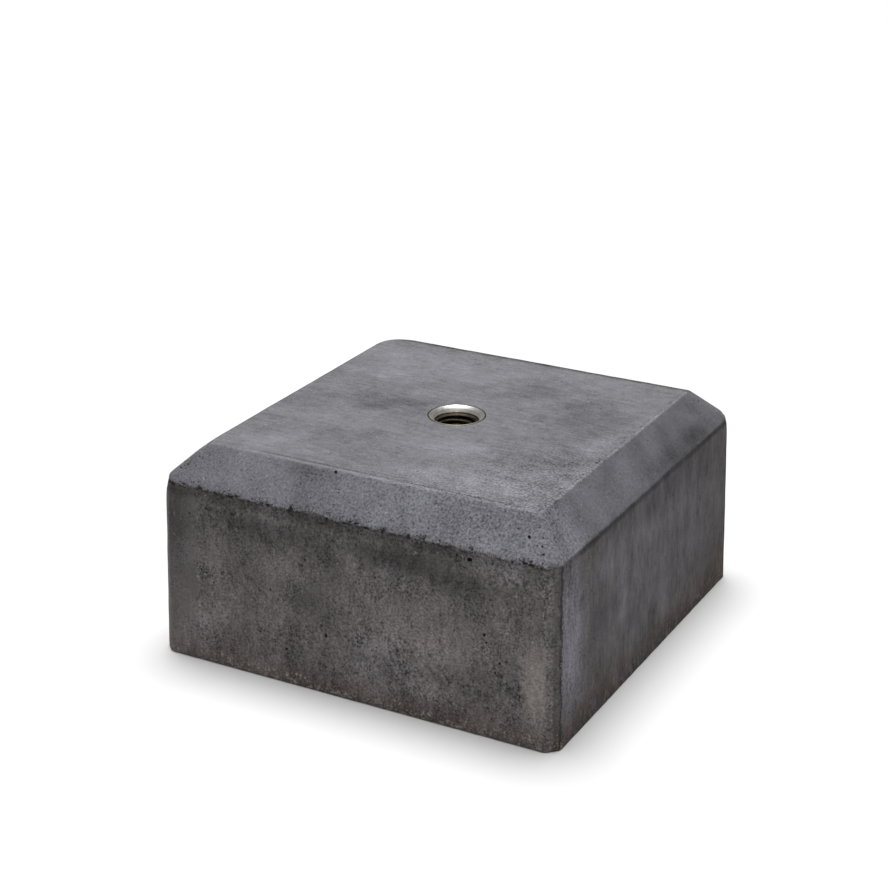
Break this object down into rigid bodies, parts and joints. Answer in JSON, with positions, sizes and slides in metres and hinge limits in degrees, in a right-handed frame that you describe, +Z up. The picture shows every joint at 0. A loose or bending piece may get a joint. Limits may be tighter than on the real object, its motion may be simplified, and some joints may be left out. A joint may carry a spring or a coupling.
{
  "type": "column base block",
  "caption": "Square cast-concrete foot for a garden column or post, with a bevelled top, cut corners and a threaded steel sleeve in its middle.",
  "frame": {"origin": "middle of the flat underside, which stands on the ground", "axes": "+Z up through the threaded sleeve, X and Y square to the sides; the picture shows the -Y side on its left and the +X side on its right"},
  "size_m": [0.2, 0.2, 0.1],
  "materials": {
    "dark_concrete": "matte",
    "zinc_plated_steel": "satin"
  },
  "bodies": {
    "root": {"concrete_block": "dark_concrete", "threaded_sleeve": "zinc_plated_steel"}
  },
  "joints": []
}
